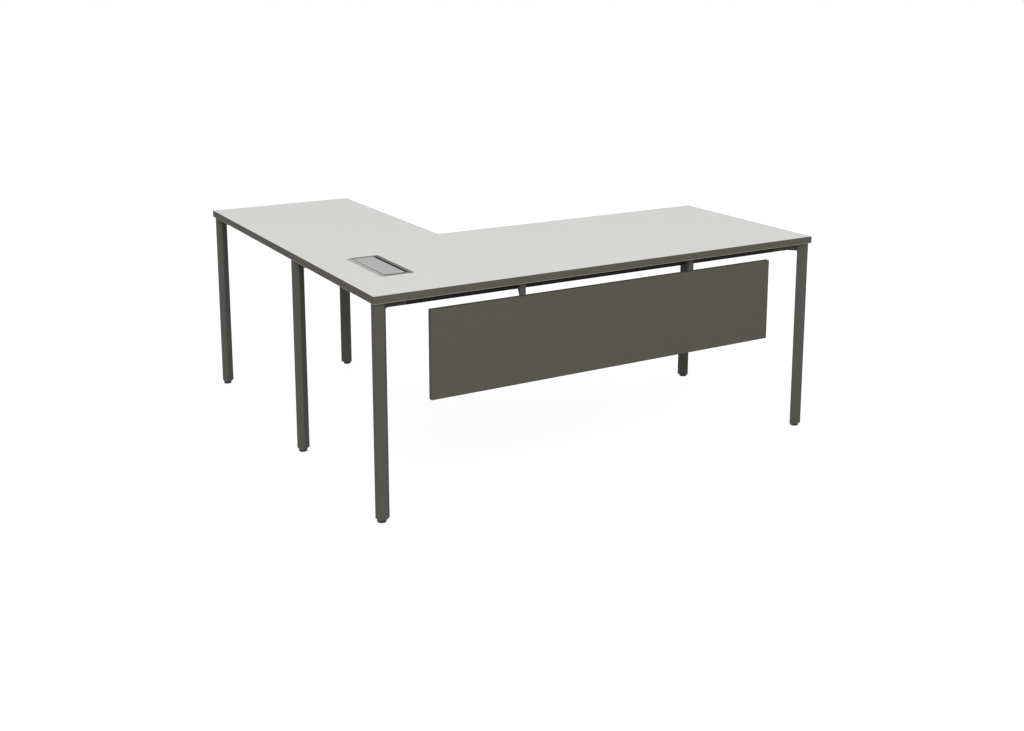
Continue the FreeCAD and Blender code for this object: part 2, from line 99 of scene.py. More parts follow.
def length(name, description, millimetres):
    """A length that a user can change, from its size in millimetres."""
    return FloatProperty(
        name=name, description=description, unit="LENGTH", min=0, precision=5, default=millimetres * MM
    )


class DeskFinishes(bpy.types.PropertyGroup):
    """Colours of the desk's finishes."""

    top: colour("Top", "Melamine face of both tops", "#D4D4D1")
    backing: colour("Backing", "Balancing sheet under the tops, which shows as a fine line", "#ABAAA4")
    band: colour("Edge band", "ABS band round both tops", "#5D5A52")
    panel: colour("Panel", "Melamine face of the modesty panel", "#5C5952")
    leg: colour("Legs", "Powder coat on the legs and brackets", "#5C5952")
    # The castings' taupe is darker than the legs': that darkening is painted shade from the top above them
    casting: colour("Castings", "Paint on the corner castings", "#514E46")
    beam: colour("Beams", "Powder coat on the beams, rails, angles and joint plates", "#35332E")
    nylon: colour("Feet", "Moulded nylon of the feet and leg plugs", "#1D1C1A")
    port_frame: colour("Port frame", "Moulded frame of the cable port", "#747472")
    port_lid: colour("Port lid", "Anodised lid and hinge leaf of the cable port", "#AAAAA9")
    bristle: colour("Bristles", "Nylon bristles in the cable slot, and their holder", "#332F27")
    zinc: colour("Zinc", "Plated steel of screws, bolts, nuts and clamps", "#C3C4C6")


class DeskSizes(bpy.types.PropertyGroup):
    """Sizes of the fine shapes that the CAD model leaves plain."""

    band_arris: length("Band arris", "Rounding along the edge band's upper edge", 1.0)
    band_lower_arris: length("Band lower arris", "Rounding along the edge band's lower edge", 0.3)
    leg_face: length("Leg face", "Width of a leg's two outer faces", 30.0)
    leg_wall: length("Leg wall", "Wall of the leg tube", 2.0)
    leg_round: length("Leg rounding", "Radius of the leg tube's corners", 1.5)
    casting_round: length("Casting rounding", "Rounding of the corner castings", 2.5)
    beam_round: length("Beam rounding", "Outer corner radius of the beam tubes", 2.2)
    bracket_round: length("Bracket rounding", "Rounding of the panel brackets", 1.5)
    panel_arris: length("Panel arris", "Rounding round the modesty panel's edging", 0.5)
    plate_arris: length("Plate arris", "Broken edge of plates, angles and clamps", 0.4)
    rim_arris: length("Rim arris", "Broken edge of the port's frame, leaf and brush holder", 0.3)
    lid_arris: length("Lid arris", "Rounding of the lid's free edges", 0.7)
    hinge_bead_show: length("Hinge bead", "How far the round bead shows beyond the lid's hinge edge", 2.0)
    thread_pitch: length("Thread pitch", "Pitch of the feet's threaded stems", 1.5)
    thread_depth: length("Thread depth", "Depth of the feet's threads", 0.8)
    bristle_pitch: length("Bristle pitch", "Distance from one bristle to the next", 0.7)
    grip_ribs: IntProperty(name="Grip ribs", description="Ribs round each foot's grip", min=6, default=24)


class DeskStage(bpy.types.PropertyGroup):
    """Camera, light and floor."""

    lens: FloatProperty(
        name="Lens", description="Focal length in mm on a 36 mm sensor", unit="CAMERA", default=43.973
    )
    shift: FloatProperty(name="Shift", description="Vertical shift of the camera's frame", default=-0.15)
    eye: FloatVectorProperty(
        name="Eye", description="Where the camera stands", subtype="XYZ", unit="LENGTH",
        default=(-2.3957, -4.2571, 1.7229),
    )
    pitch: FloatProperty(
        name="Pitch", description="How far the camera looks down", subtype="ANGLE",
        default=math.radians(10.762),
    )
    yaw: FloatProperty(
        name="Yaw", description="How far the camera turns right of +Y", subtype="ANGLE",
        default=math.radians(30.081),
    )
    sky: FloatProperty(name="Sky", description="Strength of the even light all round", min=0, default=0.75)
    key: FloatProperty(
        name="Key", description="Power of the large lamp at the front left", unit="POWER", default=1500
    )
    floor: length("Floor", "Side of the floor", 24000)
    floor_drop: length("Floor drop", "Room under the feet at rest, for their travel downwards", 15)


def add_node(tree, kind, inputs=None, **settings):
    """Add a node with its settings; an input takes a plain value or another node's output."""
    made = tree.nodes.new(kind)
    for name, value in settings.items():
        setattr(made, name, value)
    for name, value in (inputs or {}).items():
        if isinstance(value, bpy.types.NodeSocket):
            tree.links.new(value, made.inputs[name])
        else:
            made.inputs[name].default_value = value
    return made


def surface(
    name, shade, swing, cloud, grain, relief, roughness, gloss_swing,
    specular=0.5, metallic=0.0, stretch=(1, 1, 1),
):
    """A finish with slow clouds in its colour and a fine grain in its colour, relief and gloss.

    swing is the share by which the colour varies, cloud and grain are the sizes of the patches in mm,
    relief is the grain's depth in mm, and a small stretch draws the patches out along that axis.
    """
    material = bpy.data.materials.new(name)
    material.use_nodes = True
    tree = material.node_tree
    shader = tree.nodes["Principled BSDF"]
    place = add_node(tree, "ShaderNodeTexCoord").outputs["Object"]
    drawn = add_node(tree, "ShaderNodeMapping", {"Vector": place, "Scale": stretch}).outputs["Vector"]
    clouds = add_node(tree, "ShaderNodeTexNoise", {
        "Vector": drawn, "Scale": 1 / (cloud * MM), "Detail": CLOUD_DETAIL,
    })
    grains = add_node(tree, "ShaderNodeTexNoise", {
        "Vector": drawn, "Scale": 1 / (grain * MM), "Detail": GRAIN_DETAIL,
    })
    both = add_node(
        tree, "ShaderNodeMath", {0: clouds.outputs["Fac"], 1: grains.outputs["Fac"]}, operation="ADD"
    )
    mean = add_node(tree, "ShaderNodeMath", {0: both.outputs["Value"], 1: 0.5}, operation="MULTIPLY")
    tint = add_node(tree, "ShaderNodeValToRGB", {"Fac": mean.outputs["Value"]})
    low, high = tint.color_ramp.elements
    low.position, high.position = TINT_SPAN
    low.color = [c * (1 - swing) for c in shade[:3]] + [1.0]
    high.color = [min(1.0, c * (1 + swing)) for c in shade[:3]] + [1.0]
    gloss = add_node(tree, "ShaderNodeMapRange", {
        "Value": grains.outputs["Fac"], "From Min": GLOSS_SPAN[0], "From Max": GLOSS_SPAN[1],
        "To Min": roughness - gloss_swing, "To Max": roughness + gloss_swing,
    })
    bump = add_node(tree, "ShaderNodeBump", {
        "Height": grains.outputs["Fac"], "Strength": 1.0, "Distance": relief * MM,
    })
    tree.links.new(tint.outputs["Color"], shader.inputs["Base Color"])
    tree.links.new(gloss.outputs["Result"], shader.inputs["Roughness"])
    tree.links.new(bump.outputs["Normal"], shader.inputs["Normal"])
    shader.inputs["Metallic"].default_value = metallic
    shader.inputs["Specular IOR Level"].default_value = specular
    return material


def finish_for(slot):
    """The material of a slot of the record, made when it is first asked for."""
    make = FINISHES[slot]
    return bpy.data.materials.get(make.__name__) or make(bpy.context.scene.desk_finishes)


def piece(name, bm, slot, body="desk", replaced=()):
    """Make a finished bmesh an object that rides on a body and may stand for CAD nodes."""
    mesh = bpy.data.meshes.new(name)
    bm.to_mesh(mesh)
    bm.free()
    mesh.polygons.foreach_set("use_smooth", [True] * len(mesh.polygons))
    mesh.set_sharp_from_angle(angle=CREASE)
    made = bpy.data.objects.new(name, mesh)
    bpy.context.scene.collection.objects.link(made)
    made.data.materials.append(finish_for(slot))
    made.modifiers.new("weighted_normals", "WEIGHTED_NORMAL").keep_sharp = True
    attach(made, body)
    if replaced:
        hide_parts(*replaced)


def dress(node, slot):
    """Give a CAD node that keeps its shape its finish."""
    NODES[node].data.materials.clear()
    NODES[node].data.materials.append(finish_for(slot))


def merged_copy(node):
    """A bmesh of a CAD node with its loose triangles merged and its flats joined up."""
    bm = bmesh.new()
    bm.from_mesh(NODES[node].data)
    bmesh.ops.remove_doubles(bm, verts=bm.verts, dist=MERGE)
    bmesh.ops.dissolve_limit(bm, angle_limit=FLAT, verts=bm.verts, edges=bm.edges)
    return bm


def soften(bm, radius, shortest=0.0, segments=3, chosen=None):
    """Round the chosen sharp outer edges that are at least as long as the shortest."""
    edges = [
        e for e in bm.edges
        if e.is_manifold and e.is_convex and e.calc_face_angle() > SHARP
        and e.calc_length() >= shortest and (chosen is None or chosen(e))
    ]
    bmesh.ops.bevel(
        bm, geom=edges, offset=radius, offset_type="OFFSET", segments=segments, profile=0.5,
        affect="EDGES", clamp_overlap=True, material=-1,
    )
    return bm


def spun(profile, steps):
    """Turn a profile of (radius, height) points round the Z axis into a closed shell."""
    bm = bmesh.new()
    points = [bm.verts.new((r, 0, z)) for r, z in profile]
    lines = [bm.edges.new(pair) for pair in zip(points, points[1:])]
    bmesh.ops.spin(
        bm, geom=points + lines, cent=(0, 0, 0), axis=UP, angle=2 * math.pi, steps=steps, use_merge=True
    )
    bmesh.ops.remove_doubles(bm, verts=bm.verts, dist=SEAM)
    bmesh.ops.recalc_face_normals(bm, faces=bm.faces)
    return bm


def loose_parts(node):
    """The corner points of each separate solid of a CAD node."""
    bm = merged_copy(node)
    left = set(bm.verts)
    found = []
    while left:
        reach = [left.pop()]
        part = []
        while reach:
            vert = reach.pop()
            part.append(vert.co.copy())
            near = {e.other_vert(vert) for e in vert.link_edges} & left
            left -= near
            reach += near
        found.append(part)
    bm.free()
    return found


# Finishes, named for what they really are

def pale_melamine(c):
    # Melamine paper pressed on chipboard: even pale grey, matt, with a pearl texture of about 1 mm
    return surface(
        "pale_melamine", c.top, swing=0.012, cloud=35, grain=1.2, relief=0.012, roughness=0.55,
        gloss_swing=0.05, specular=0.2,
    )


def resin_paper(c):
    # Resin paper pressed on the underside: plain grey and dull, with a faint mottle
    return surface(
        "resin_paper", c.backing, swing=0.03, cloud=20, grain=0.8, relief=0.01, roughness=0.62,
        gloss_swing=0.06, specular=0.25,
    )


def abs_edge_strip(c):
    # Extruded ABS strip with an embossed face: dark taupe, dull satin, with a fine even grain
    return surface(
        "abs_edge_strip", c.band, swing=0.025, cloud=30, grain=1.0, relief=0.01, roughness=0.58,
        gloss_swing=0.06, specular=0.04,
    )


def taupe_melamine(c):
    # The same pressed melamine in dark taupe: matt, with the pearl texture as a faint unevenness
    return surface(
        "taupe_melamine", c.panel, swing=0.02, cloud=40, grain=1.2, relief=0.012, roughness=0.6,
        gloss_swing=0.05, specular=0.04,
    )


def taupe_powder_coat(c):
    # Baked powder coat on steel: even colour with an orange-peel surface of about 1.5 mm
    return surface(
        "taupe_powder_coat", c.leg, swing=0.02, cloud=25, grain=1.5, relief=0.02, roughness=0.6,
        gloss_swing=0.05, specular=0.04,
    )


def die_casting_paint_and_shade(c):
    # Painted die casting: a little coarser and duller in gloss than the tubes, from the blasted skin
    # Its taupe is darker than the legs': that darkening is painted shade from the top above the castings
    return surface(
        "die_casting_paint_and_shade", c.casting, swing=0.05, cloud=9, grain=1.1, relief=0.05, roughness=0.65,
        gloss_swing=0.07, specular=0.04,
    )


def black_powder_coat(c):
    # Near-black powder coat on rolled tube: fine orange peel, low sheen
    return surface(
        "black_powder_coat", c.beam, swing=0.03, cloud=25, grain=1.5, relief=0.02, roughness=0.6,
        gloss_swing=0.05, specular=0.04,
    )


def moulded_nylon(c):
    # Moulded black nylon: dull, with the fine grain of an eroded mould
    return surface(
        "moulded_nylon", c.nylon, swing=0.08, cloud=5, grain=0.6, relief=0.02, roughness=0.55,
        gloss_swing=0.08,
    )


def moulded_abs(c):
    # Moulded ABS: dull mid grey with the fine spark grain of its mould
    return surface(
        "moulded_abs", c.port_frame, swing=0.04, cloud=8, grain=0.6, relief=0.015, roughness=0.55,
        gloss_swing=0.06, specular=0.03,
    )


def anodised_aluminium(c):
    # Anodised aluminium brushed along its length: light satin metal with fine lines.
    # The real brushing of 0.2 mm is too fine to show, so it is drawn at 0.6 mm.
    return surface(
        "anodised_aluminium", c.port_lid, swing=0.03, cloud=15, grain=0.6, relief=0.003, roughness=0.45,
        gloss_swing=0.07, metallic=1.0, stretch=(1, 0.03, 1),
    )


def nylon_monofilament(c):
    # Nylon monofilament: dark and waxy, a little lighter from one filament to the next
    return surface(
        "nylon_monofilament", c.bristle, swing=0.25, cloud=0.9, grain=0.3, relief=0.005, roughness=0.5,
        gloss_swing=0.08, specular=0.1,
    )


def zinc_plate(c):
    # Bright zinc plate: bluish grey metal with soft patches of about 4 mm
    return surface(
        "zinc_plate", c.zinc, swing=0.08, cloud=4, grain=0.9, relief=0.006, roughness=0.36,
        gloss_swing=0.09, metallic=1.0,
    )


FINISHES = {
    "top_melamine": pale_melamine,
    "backing_sheet": resin_paper,
    "edge_band": abs_edge_strip,
    "panel_melamine": taupe_melamine,
    "leg_paint": taupe_powder_coat,
    "connector_casting": die_casting_paint_and_shade,
    "beam_paint": black_powder_coat,
    "foot_nylon": moulded_nylon,
    "port_frame_grey": moulded_abs,
    "port_lid_grey": anodised_aluminium,
    "brush_bristle": nylon_monofilament,
    "zinc_steel": zinc_plate,
}


class DESK_OT_tops(bpy.types.Operator):
    """Finish the two boards and their backing, and round the edge bands"""

    bl_idname = "desk.tops"
    bl_label = "Tops"

    def execute(self, context):
        sizes = context.scene.desk_sizes
        for part in ("main", "return"):
            dress(part + "_board", "top_melamine")
            dress(part + "_backing", "backing_sheet")
            node = part + "_edge_band"
            low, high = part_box(node)

            def outside(point):
                """Whether a point lies on one of the band's outer faces."""
                on_x = min(point.x - low.x, high.x - point.x) < TOUCH
                on_front = point.y - low.y < TOUCH and part == "main"
                return on_x or on_front or high.y - point.y < TOUCH

            def level_edge(level):
                """A test for the outer edges at one level."""
                return lambda e: all(outside(v.co) and abs(v.co.z - level) < TOUCH for v in e.verts)

            bm = merged_copy(node)
            soften(bm, sizes.band_arris, chosen=level_edge(high.z))
            soften(bm, sizes.band_lower_arris, segments=2, chosen=level_edge(low.z))
            piece(part + "_top_band", bm, "edge_band", replaced=(node,))
        return {"FINISHED"}


class DESK_OT_legs(bpy.types.Operator):
    """Build the six pentagon legs as rounded tubes, and finish their plugs and nut plates"""

    bl_idname = "desk.legs"
    bl_label = "Legs"

    corner_segments = 6
    square_corner = math.radians(60)  # three corners turn by a right angle, which is more than this
    blunt_turn = math.radians(45)  # and the two others turn by this
    upright = 0.9  # the two end faces point up or down by more than this share

    def execute(self, context):
        sizes = context.scene.desk_sizes
        for corner, (x_way, y_way) in CORNERS.items():
            node = "leg_" + corner
            low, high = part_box(node)
            nose = Vector((low.x if x_way > 0 else high.x, low.y if y_way > 0 else high.y, low.z))
            # The box ends on the rounded inner corners, so the square outline reaches a little further
            across = high.x - low.x + sizes.leg_round * (math.sqrt(2) - 1)
            face = sizes.leg_face
            run = across - face
            bm = bmesh.new()
            outline = [(0, 0), (face, 0), (across, run), (run, across), (0, face)]
            base = bm.faces.new([bm.verts.new((x, y, 0)) for x, y in outline])
            grown = bmesh.ops.extrude_face_region(bm, geom=[base])["geom"]
            bmesh.ops.translate(
                bm, vec=(0, 0, high.z - low.z), verts=[g for g in grown if isinstance(g, bmesh.types.BMVert)]
            )
            bmesh.ops.recalc_face_normals(bm, faces=bm.faces)
            square, blunt = [], []
            for e in bm.edges:
                if abs(e.verts[0].co.z - e.verts[1].co.z) > MM:
                    (square if e.calc_face_angle() > self.square_corner else blunt).append(e)
            for edges, reach in ((square, 1.0), (blunt, math.tan(self.blunt_turn / 2))):
                bmesh.ops.bevel(
                    bm, geom=[e for e in edges if e.is_valid], offset=sizes.leg_round * reach,
                    offset_type="OFFSET", segments=self.corner_segments, profile=0.5, affect="EDGES",
                    clamp_overlap=True, material=-1,
                )
            ends = [f for f in bm.faces if abs(f.normal.z) > self.upright]
            bmesh.ops.inset_region(bm, faces=ends, thickness=sizes.leg_wall, use_even_offset=True)
            loops = {e for f in ends for e in f.edges}
            bmesh.ops.delete(bm, geom=ends, context="FACES_ONLY")
            bmesh.ops.bridge_loops(bm, edges=list(loops))
            turned = Matrix.Diagonal((x_way, y_way, 1, 1))
            bmesh.ops.transform(bm, matrix=Matrix.Translation(nose) @ turned, verts=bm.verts)
            bmesh.ops.recalc_face_normals(bm, faces=bm.faces)
            piece("leg_tube_" + corner, bm, "leg_paint", replaced=(node,))
        dress("leg_end_caps", "foot_nylon")
        dress("foot_nuts", "zinc_steel")
        dress("leg_nut_plates", "zinc_steel")
        return {"FINISHED"}


class DESK_OT_feet(bpy.types.Operator):
    """Build the six levelling feet: a ribbed nylon pad on a threaded stem"""

    bl_idname = "desk.feet"
    bl_label = "Levelling feet"

    # Pad section as (radius, height) in mm, from the sole's centre round to the stem's socket
    section = (
        (0, 0), (13.4, 0), (14.6, 0.4), (15.4, 1.3), (15.5, 2.0), (15.5, 3.2), (14.8, 3.7), (14.8, 4.4),
        (15.5, 4.9), (15.5, 8.3), (15.2, 9.2), (14.4, 9.8), (13.2, 10), (7, 10), (6.4, 9.4), (5.2, 9.2),
        (5.2, 1.9), (0, 1.9),
    )
    # Lengths in mm
    grip = (4.85, 8.4)
    grip_inside = 15.0
    rib_depth = 0.55
    stem_radius = 5.0
    stem_foot = 2.0
    thread_seam = 0.005
    # Where a thread's flanks start and end, as shares of the pitch
    flanks = ((0.13, 0.43), (0.57, 0.87))
    rib_steps = 4
    turn_steps = 24
    cut_distance = 1e-7  # in metres

    def stem(self, sizes, top):
        """A helical thread, cut square at both ends."""
        pitch = sizes.thread_pitch
        root = self.stem_radius * MM - sizes.thread_depth
        crest = self.stem_radius * MM
        bottom = self.stem_foot * MM
        turns = math.ceil((top - bottom) / pitch) + 2
        bm = bmesh.new()
        (rise, full), (fall, end) = self.flanks
        section = ((root, 0), (root, rise), (crest, full), (crest, fall), (root, end), (root, 1))
        points = [bm.verts.new((r, 0, bottom + (h - 1) * pitch)) for r, h in section]
        lines = [bm.edges.new(pair) for pair in zip(points, points[1:])]
        bmesh.ops.spin(
            bm, geom=points + lines, cent=(0, 0, 0), axis=UP, dvec=(0, 0, pitch / self.turn_steps),
            angle=2 * math.pi * turns, steps=self.turn_steps * turns, use_merge=False,
        )
        bmesh.ops.remove_doubles(bm, verts=bm.verts, dist=self.thread_seam * MM)
        for level, way in ((bottom, -1), (top, 1)):
            everything = bm.verts[:] + bm.edges[:] + bm.faces[:]
            bmesh.ops.bisect_plane(
                bm, geom=everything, dist=self.cut_distance, plane_co=(0, 0, level), plane_no=(0, 0, way),
                clear_outer=True,
            )
        bmesh.ops.holes_fill(bm, edges=[e for e in bm.edges if e.is_boundary], sides=0)
        bmesh.ops.recalc_face_normals(bm, faces=bm.faces)
        return bm

    def execute(self, context):
        sizes = context.scene.desk_sizes
        for corner in CORNERS:
            node = "foot_" + corner
            body = "levelling_foot_" + corner
            low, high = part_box(node)
            centre = Matrix.Translation(((low.x + high.x) / 2, (low.y + high.y) / 2, low.z))
            steps = sizes.grip_ribs * self.rib_steps
            pad = spun([(r * MM, z * MM) for r, z in self.section], steps)
            for v in pad.verts:
                place = round(math.atan2(v.co.y, v.co.x) / (2 * math.pi) * steps) % self.rib_steps
                on_grip = self.grip[0] * MM < v.co.z < self.grip[1] * MM
                if on_grip and v.co.xy.length > self.grip_inside * MM and place == 0:
                    v.co.xy *= 1 - self.rib_depth * MM / v.co.xy.length
            stem = self.stem(sizes, high.z - low.z)
            for bm in (pad, stem):
                bmesh.ops.transform(bm, matrix=centre, verts=bm.verts)
            piece("foot_pad_" + corner, pad, "foot_nylon", body, replaced=(node,))
            piece("foot_stem_" + corner, stem, "zinc_steel", body)
        return {"FINISHED"}


class DESK_OT_frame(bpy.types.Operator):
    """Round the corner castings, the beam tubes and the angles and plates between them"""

    bl_idname = "desk.frame"
    bl_label = "Frame"

    beams = (
        "main_front_beam", "main_back_beam", "main_left_rail", "main_right_rail",
        "return_left_beam", "return_right_beam", "return_back_rail",
    )
    # Shortest edges in mm that are rounded, which leaves out the facets of holes
    casting_edge = 20
    beam_edge = 150
    plate_edge = 3.5

    def execute(self, context):
        sizes = context.scene.desk_sizes
        for corner, (x_way, y_way) in CORNERS.items():
            node = "connector_" + corner
            inward = Vector((x_way, y_way, 0))
            bm = merged_copy(node)
            pad = min(v.co.dot(inward) for v in bm.verts)

            def off_leg(e):
                """Whether an edge is clear of the face that sits on the leg."""
                return any(v.co.dot(inward) > pad + LEVEL for v in e.verts)

            soften(bm, sizes.casting_round, self.casting_edge * MM, chosen=off_leg)
            piece("casting_" + corner, bm, "connector_casting", replaced=(node,))
        for node in self.beams:
            bm = soften(merged_copy(node), sizes.beam_round, self.beam_edge * MM, segments=4)
            piece(node + "_tube", bm, "beam_paint", replaced=(node,))
        for node in ("return_angles", "joint_plates"):
            bm = soften(merged_copy(node), sizes.plate_arris, self.plate_edge * MM, segments=2)
            piece(node.replace("_", "_steel_"), bm, "beam_paint", replaced=(node,))
        return {"FINISHED"}


class DESK_OT_modesty_panel(bpy.types.Operator):
    """Finish the modesty panel, its edging and its two brackets"""

    bl_idname = "desk.modesty_panel"
    bl_label = "Modesty panel"

    bracket_edge = 7  # shortest edge in mm that is rounded

    def execute(self, context):
        sizes = context.scene.desk_sizes
        dress("modesty_panel", "panel_melamine")
        node = "modesty_panel_edging"
        low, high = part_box(node)

        def outer(e):
            """Whether an edge lies on the edging's outside."""
            depths = [
                min(v.co.x - low.x, high.x - v.co.x, v.co.z - low.z, high.z - v.co.z) for v in e.verts
            ]
            return max(depths) < TOUCH

        bm = soften(merged_copy(node), sizes.panel_arris, chosen=outer)
        piece("panel_edge_strip", bm, "panel_melamine", replaced=(node,))
        for side in ("left", "right"):
            node = "panel_bracket_" + side
            bm = soften(merged_copy(node), sizes.bracket_round, self.bracket_edge * MM)
            piece("bracket_casting_" + side, bm, "leg_paint", replaced=(node,))
        return {"FINISHED"}


class DESK_OT_cable_port(bpy.types.Operator):
    """Finish the cable port: frame, hinge leaf, lid, pins, clamps and the bristles of its brush"""

    bl_idname = "desk.cable_port"
    bl_label = "Cable port"

    # Shortest edges in mm that are rounded, which leaves out the facets of holes
    rim_edge = 9
    lid_edge = 20
    holder_edge = 3
    clamp_edge = 3.5
    # Sizes in mm; the lid's edges within hinge_side of its hinge stay sharp
    hinge_side = 10.0
    bead_chamfer = 0.5
    bristle_root = 0.32
    bristle_tip = 0.2
    bristle_rows = (-0.45, 0.45)
    # How bristles stray: sideways in shares of their pitch, in length, and in degrees
    bristle_stray = 0.2
    bristle_lengths = (0.9, 1.0)
    bristle_lean = 2
    bristle_sides = 5
    bristle_seed = 11
    bead_sides = 32

    def lid(self, sizes):
        """A flat plate from just past the hinge to the cable slot."""
        low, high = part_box("port_lid")
        low.x += sizes.hinge_bead_show
        bm = bmesh.new()
        bmesh.ops.create_cube(bm, size=1)
        bmesh.ops.scale(bm, vec=high - low, verts=bm.verts)
        bmesh.ops.translate(bm, vec=(low + high) / 2, verts=bm.verts)

        def off_hinge(e):
            """Whether an edge reaches away from the hinge."""
            return max(v.co.x for v in e.verts) > low.x + self.hinge_side * MM

        return soften(bm, sizes.lid_arris, self.lid_edge * MM, chosen=off_hinge)

    def hinge_bead(self):
        """A round bar on the hinge line, which shows beside the lid as a grey line."""
        low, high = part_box("port_lid")
        radius = (high.z - low.z) / 2
        bm = bmesh.new()
        bmesh.ops.create_cone(
            bm, cap_ends=True, segments=self.bead_sides, radius1=radius, radius2=radius, depth=high.y - low.y,
            matrix=Matrix.Translation((low.x + radius, (low.y + high.y) / 2, (low.z + high.z) / 2))
            @ Matrix.Rotation(math.pi / 2, 4, "X"),
        )
        return soften(bm, self.bead_chamfer * MM, segments=2)

    def brush(self, sizes):
        """Two rows of bristles from the holder to just short of the lid."""
        low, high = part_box("port_brush")
        random.seed(self.bristle_seed)
        bm = bmesh.new()
        reach = high.x - low.x
        count = int((high.y - low.y) / sizes.bristle_pitch)
        for row in self.bristle_rows:
            for i in range(count):
                stray = random.uniform(-self.bristle_stray, self.bristle_stray)
                y = low.y + (i + 0.5 + stray) * (high.y - low.y) / count
                z = (low.z + high.z) / 2 + row * MM
                size = reach * random.uniform(*self.bristle_lengths)
                turn = random.uniform(-self.bristle_lean, self.bristle_lean)
                lean = Matrix.Rotation(math.radians(turn), 4, "Z")
                lie = Matrix.Rotation(math.radians(-90), 4, "Y") @ Matrix.Translation((0, 0, size / 2))
                bmesh.ops.create_cone(
                    bm, cap_ends=True, segments=self.bristle_sides, radius1=self.bristle_root * MM,
                    radius2=self.bristle_tip * MM, depth=size,
                    matrix=Matrix.Translation((high.x, y, z)) @ lean @ lie,
                )
        return bm

    def execute(self, context):
        sizes = context.scene.desk_sizes
        bm = soften(merged_copy("port_frame"), sizes.rim_arris, self.rim_edge * MM, segments=2)
        piece("port_rim_frame", bm, "port_frame_grey", replaced=("port_frame",))
        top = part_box("port_hinge_leaf")[1].z

        def on_top(e):
            """Whether an edge lies in the leaf's upper face."""
            return all(v.co.z > top - LEVEL for v in e.verts)

        leaf = merged_copy("port_hinge_leaf")
        bm = soften(leaf, sizes.rim_arris, self.rim_edge * MM, segments=2, chosen=on_top)
        piece("port_leaf_strip", bm, "port_lid_grey", replaced=("port_hinge_leaf",))
        piece("port_flip_lid", self.lid(sizes), "port_lid_grey", "lid", replaced=("port_lid",))
        piece("port_hinge_bead", self.hinge_bead(), "port_frame_grey", "lid")
        piece("port_bristles", self.brush(sizes), "brush_bristle", replaced=("port_brush",))
        bm = soften(merged_copy("port_brush_holder"), sizes.rim_arris, self.holder_edge * MM, segments=2)
        piece("port_bristle_holder", bm, "brush_bristle", replaced=("port_brush_holder",))
        bm = soften(merged_copy("port_clamps"), sizes.plate_arris, self.clamp_edge * MM, segments=2)
        piece("port_clamp_angles", bm, "zinc_steel", replaced=("port_clamps",))
        dress("port_hinge_pins", "zinc_steel")
        return {"FINISHED"}


